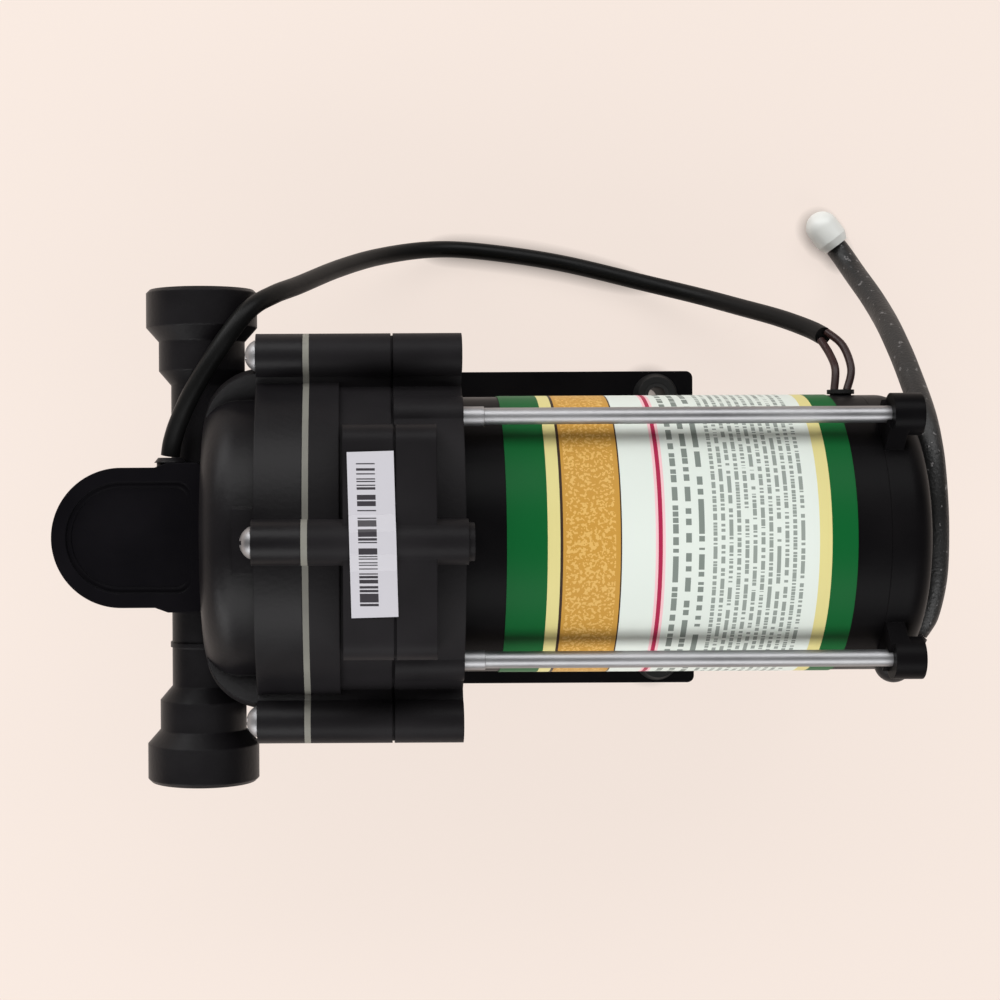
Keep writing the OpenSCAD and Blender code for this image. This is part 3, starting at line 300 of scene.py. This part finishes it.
# Sticker: pale film with plain bars of uneven width
def sticker_material():
    mat, tree, shader = new_material("barred_film")
    shader.inputs["Roughness"].default_value = 0.5
    axes = tree.nodes.new("ShaderNodeSeparateXYZ")
    tree.links.new(tree.nodes.new("ShaderNodeTexCoord").outputs["Object"], axes.inputs["Vector"])
    x = axes.outputs["X"]
    y = axes.outputs["Y"]
    cell = tree.nodes.new("ShaderNodeTexWhiteNoise")
    cell.noise_dimensions = "1D"
    tree.links.new(maths(tree, "FLOOR", maths(tree, "DIVIDE", y, BAR_STEP * MM)), cell.inputs["W"])
    bar = maths(tree, "GREATER_THAN", cell.outputs["Value"], BAR_CUT)
    across = maths(tree, "ADD", x, maths(tree, "MULTIPLY", y, BAR_LEAN))
    window = maths(tree, "MULTIPLY", between(tree, across, *BARS_X), between(tree, y, *BARS_Y))
    colour = mix_colours(tree, maths(tree, "MULTIPLY", bar, window), FILM, BAR_INK)
    tree.links.new(colour, shader.inputs["Base Color"])
    return mat


MAT["printed_wrap"] = wrap_material()
MAT["paper"] = sticker_material()


def use(obj, name):
    obj.data.materials.clear()
    obj.data.materials.append(MAT[name])


# Every piece takes its slot's material, and a few take a closer one
for part in frame["record"]["subparts"]:
    use(nodes[part["node"]], part["material_slot"])
use(nodes["foot_bushes"], "black_steel")
# The housings take the black plastic lightened with painted light for their flat pads
for name in ("housing_front", "housing_rear"):
    use(nodes[name], "housing_plastic_painted_light")
for name in ("switch_cover", "switch_body"):
    use(nodes[name], "switch_plastic")


# Cords: smooth round tubes along the routes of the solids, on a Catmull-Rom curve
def spline_points(route, steps=8):
    def at(i):
        return Vector(route[min(max(i, 0), len(route) - 1)])
    points = []
    for i in range(len(route) - 1):
        a, b, c, d = at(i - 1), at(i), at(i + 1), at(i + 2)
        for j in range(steps):
            t = j / steps
            points.append(0.5 * (2 * b + (c - a) * t + (2 * a - 5 * b + 4 * c - d) * t * t
                                 + (3 * b - a - 3 * c + d) * t ** 3))
    points.append(at(len(route) - 1))
    return points


def cord_curve(name, points, diameter, mat):
    data = bpy.data.curves.new(name, "CURVE")
    data.dimensions = "3D"
    data.bevel_depth = diameter / 2 * MM
    data.bevel_resolution = 6
    data.use_fill_caps = True
    spline = data.splines.new("POLY")
    spline.points.add(len(points) - 1)
    for p, q in zip(spline.points, points):
        p.co = (*(q * MM), 1.0)
    spline.use_smooth = True
    obj = bpy.data.objects.new(name, data)
    scene.collection.objects.link(obj)
    obj.data.materials.append(MAT[mat])
    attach(obj, "pump_body")
    return obj


# Switch cable, from the gland of the switch down to the floor and up to the motor
CABLE_START = Vector((-92.6, 19.0, AXIS_H + 9.5))
CABLE = [(0, 0, 0), (0.6, 3.5, 0.4), (2.4, 8.5, 1.6), (6.2, 16, 3.4), (13, 26.6, 4.4), (18.9, 34.2, 2.4),
         (24.4, 38.2, -4), (30, 41.4, -14.5), (39.5, 47.4, -34.5), (50, 52.2, -51.5), (63.5, 55.2, -62.4),
         (77, 55, -65), (98.5, 51.8, -65), (122, 45.8, -62.6), (134.5, 41.8, -55.6), (143, 38.1, -45.6),
         (150.6, 34.3, -33.6), (155.8, 30.8, -23.6), (158, 28.6, -18)]
cable_points = spline_points([CABLE_START + Vector(p) for p in CABLE])
cable = cord_curve("switch_cable_jacket", cable_points, CABLE_D, "cable_jacket")

# Its two leads part at the jacket's end and reach into the grommet of the motor can
WIRE_END = Vector((67.4, 34.0, AXIS_H))
wires = []
for name, s in (("cable_wire_a", -1), ("cable_wire_b", 1)):
    start = cable_points[-1] + Vector((s * 0.7, s * 1.0, 0.4))
    stop = WIRE_END + Vector((s * 1.5, 0, 0))
    route = [start, start + Vector((2.2 + s * 0.9, -3.6, 3.4)), stop + Vector((1 + s * 0.4, 5.1, -1.2)), stop]
    wires.append(cord_curve(name, spline_points(route, 6), WIRE_D, "lead_insulation"))
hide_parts("switch_cable")
for wire in wires:
    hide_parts("cable_wires")

# Sleeved motor lead, from the spout behind the rear cap to its crimp cap, with heights from the motor's axis
SLEEVE = [(82.41, -22.98, 9.5), (83.56, -21.34, 9.6), (84.7, -18.8, 10.4), (85.6, -13.2, 12.2),
          (86, -6.7, 13.5), (86, 3.8, 14), (85.6, 14.3, 13.4), (85.4, 21.3, 11.2), (85.3, 28.5, 6.2),
          (85.6, 39.5, -7.5), (85.8, 46, -16.8), (86, 52.6, -27.5), (85.4, 59.7, -38.8), (83.8, 66.6, -48.6),
          (82.2, 71, -52.8), (81, 73.4, -54.3), (80.25, 74.5, -54.6)]
LIFT = Vector((0, 0, AXIS_H))
sleeve_points = spline_points([Vector(p) + LIFT for p in SLEEVE])
sleeve = cord_curve("motor_lead_sleeve", sleeve_points, SLEEVE_D, "sleeve")
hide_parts("lead_sleeve")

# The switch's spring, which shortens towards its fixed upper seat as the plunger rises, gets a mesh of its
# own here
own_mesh(nodes["switch_spring"])


FLOOR_HALF = 3.0
# What lights the part from below, what the camera and reflections see, what takes the shadows, and how far
# the painted contact shade reaches
FLOOR_COLOUR = (0.62, 0.55, 0.51, 1.0)
FLOOR_SEEN = srgb(246, 232, 223)
FLOOR_GLOW = 0.842
FLOOR_SHADOWED = (0.14, 0.122, 0.11, 1.0)
PAINTED_CONTACT_SHADE_REACH = 3.5


# Stage: a pale floor that glows for the camera, its glow darkened by painted contact shade close to the part,
# and that keeps the part's shadow
def add_floor():
    mesh = bpy.data.meshes.new("floor")
    h = FLOOR_HALF
    mesh.from_pydata([(-h, -h, 0), (h, -h, 0), (h, h, 0), (-h, h, 0)], [], [(0, 1, 2, 3)])
    obj = bpy.data.objects.new("floor", mesh)
    scene.collection.objects.link(obj)
    mat, tree, shader = new_material("floor")
    shader.inputs["Roughness"].default_value = 0.9
    shader.inputs["Specular IOR Level"].default_value = 0.0
    shader.inputs["Base Color"].default_value = FLOOR_COLOUR
    # Painted contact shade: ambient occlusion darkens the glowing colour where the part stands close to the
    # floor
    shade = tree.nodes.new("ShaderNodeAmbientOcclusion")
    shade.inputs["Distance"].default_value = PAINTED_CONTACT_SHADE_REACH * MM
    shade.inputs["Color"].default_value = (*FLOOR_SEEN, 1.0)
    pale = tree.nodes.new("ShaderNodeEmission")
    tree.links.new(shade.outputs["Color"], pale.inputs["Color"])
    pale.inputs["Strength"].default_value = FLOOR_GLOW
    soft = tree.nodes.new("ShaderNodeBsdfDiffuse")
    soft.inputs["Color"].default_value = FLOOR_SHADOWED
    seen = tree.nodes.new("ShaderNodeAddShader")
    tree.links.new(pale.outputs["Emission"], seen.inputs[0])
    tree.links.new(soft.outputs["BSDF"], seen.inputs[1])
    path = tree.nodes.new("ShaderNodeLightPath")
    shown = maths(tree, "MAXIMUM", path.outputs["Is Camera Ray"], path.outputs["Is Glossy Ray"])
    choice = tree.nodes.new("ShaderNodeMixShader")
    tree.links.new(maths(tree, "MAXIMUM", shown, path.outputs["Is Transmission Ray"]), choice.inputs["Fac"])
    tree.links.new(shader.outputs["BSDF"], choice.inputs[1])
    tree.links.new(seen.outputs["Shader"], choice.inputs[2])
    tree.links.new(choice.outputs["Shader"], tree.nodes["Material Output"].inputs["Surface"])
    mesh.materials.append(mat)


# Lamps stand in pairs, one on each side of the pump. Each row has a name, a place, the point that it is
# aimed at and a size, in metres, and a power in watts
LAMPS = [
    ("box", (0.0, 0.74, 0.74), (0, 0, 0.05), (1.6, 0.55), 10.2),
    ("strip", (-0.62, 0.62, 0.30), (-0.08, 0, 0.06), (0.5, 0.25), 2.5),
]
WORLD_COLOUR = (1.0, 0.97, 0.95, 1.0)
WORLD_STRENGTH = 0.12


def add_area(name, place, target, size, power):
    data = bpy.data.lights.new(name, "AREA")
    data.shape = "RECTANGLE"
    data.size, data.size_y = size
    data.energy = power
    obj = bpy.data.objects.new(name, data)
    scene.collection.objects.link(obj)
    obj.location = place
    obj.rotation_euler = (Vector(target) - Vector(place)).to_track_quat("-Z", "Y").to_euler()


def add_world():
    world = bpy.data.worlds.new("world")
    world.use_nodes = True
    background = world.node_tree.nodes["Background"]
    background.inputs["Color"].default_value = WORLD_COLOUR
    background.inputs["Strength"].default_value = WORLD_STRENGTH
    scene.world = world


# Place in metres, turn in degrees, lens and sensor in millimetres, and the picture's shift as a share
# of its width
CAMERA_PLACE = (-0.0492, 0.0163, 0.518)
CAMERA_TURN = -0.3
LENS = 69.0
SENSOR = 36.0
SHIFT = (0.145, -0.0335)


# Camera: straight above the pump's head, with the picture's centre shifted to the right of the lens axis
def add_camera():
    data = bpy.data.cameras.new("camera")
    data.lens = LENS
    data.sensor_width = SENSOR
    data.shift_x, data.shift_y = SHIFT
    data.clip_start = 0.01
    data.clip_end = 20.0
    obj = bpy.data.objects.new("camera", data)
    scene.collection.objects.link(obj)
    turn = Matrix.Rotation(math.radians(CAMERA_TURN), 4, "Z")
    obj.matrix_world = Matrix.Translation(CAMERA_PLACE) @ turn
    scene.camera = obj


add_floor()
for kind, (x, y, z), target, size, power in LAMPS:
    add_area(kind + "_far", (x, y, z), target, size, power)
    add_area(kind + "_near", (x, -y, z), target, size, power)
add_world()
add_camera()
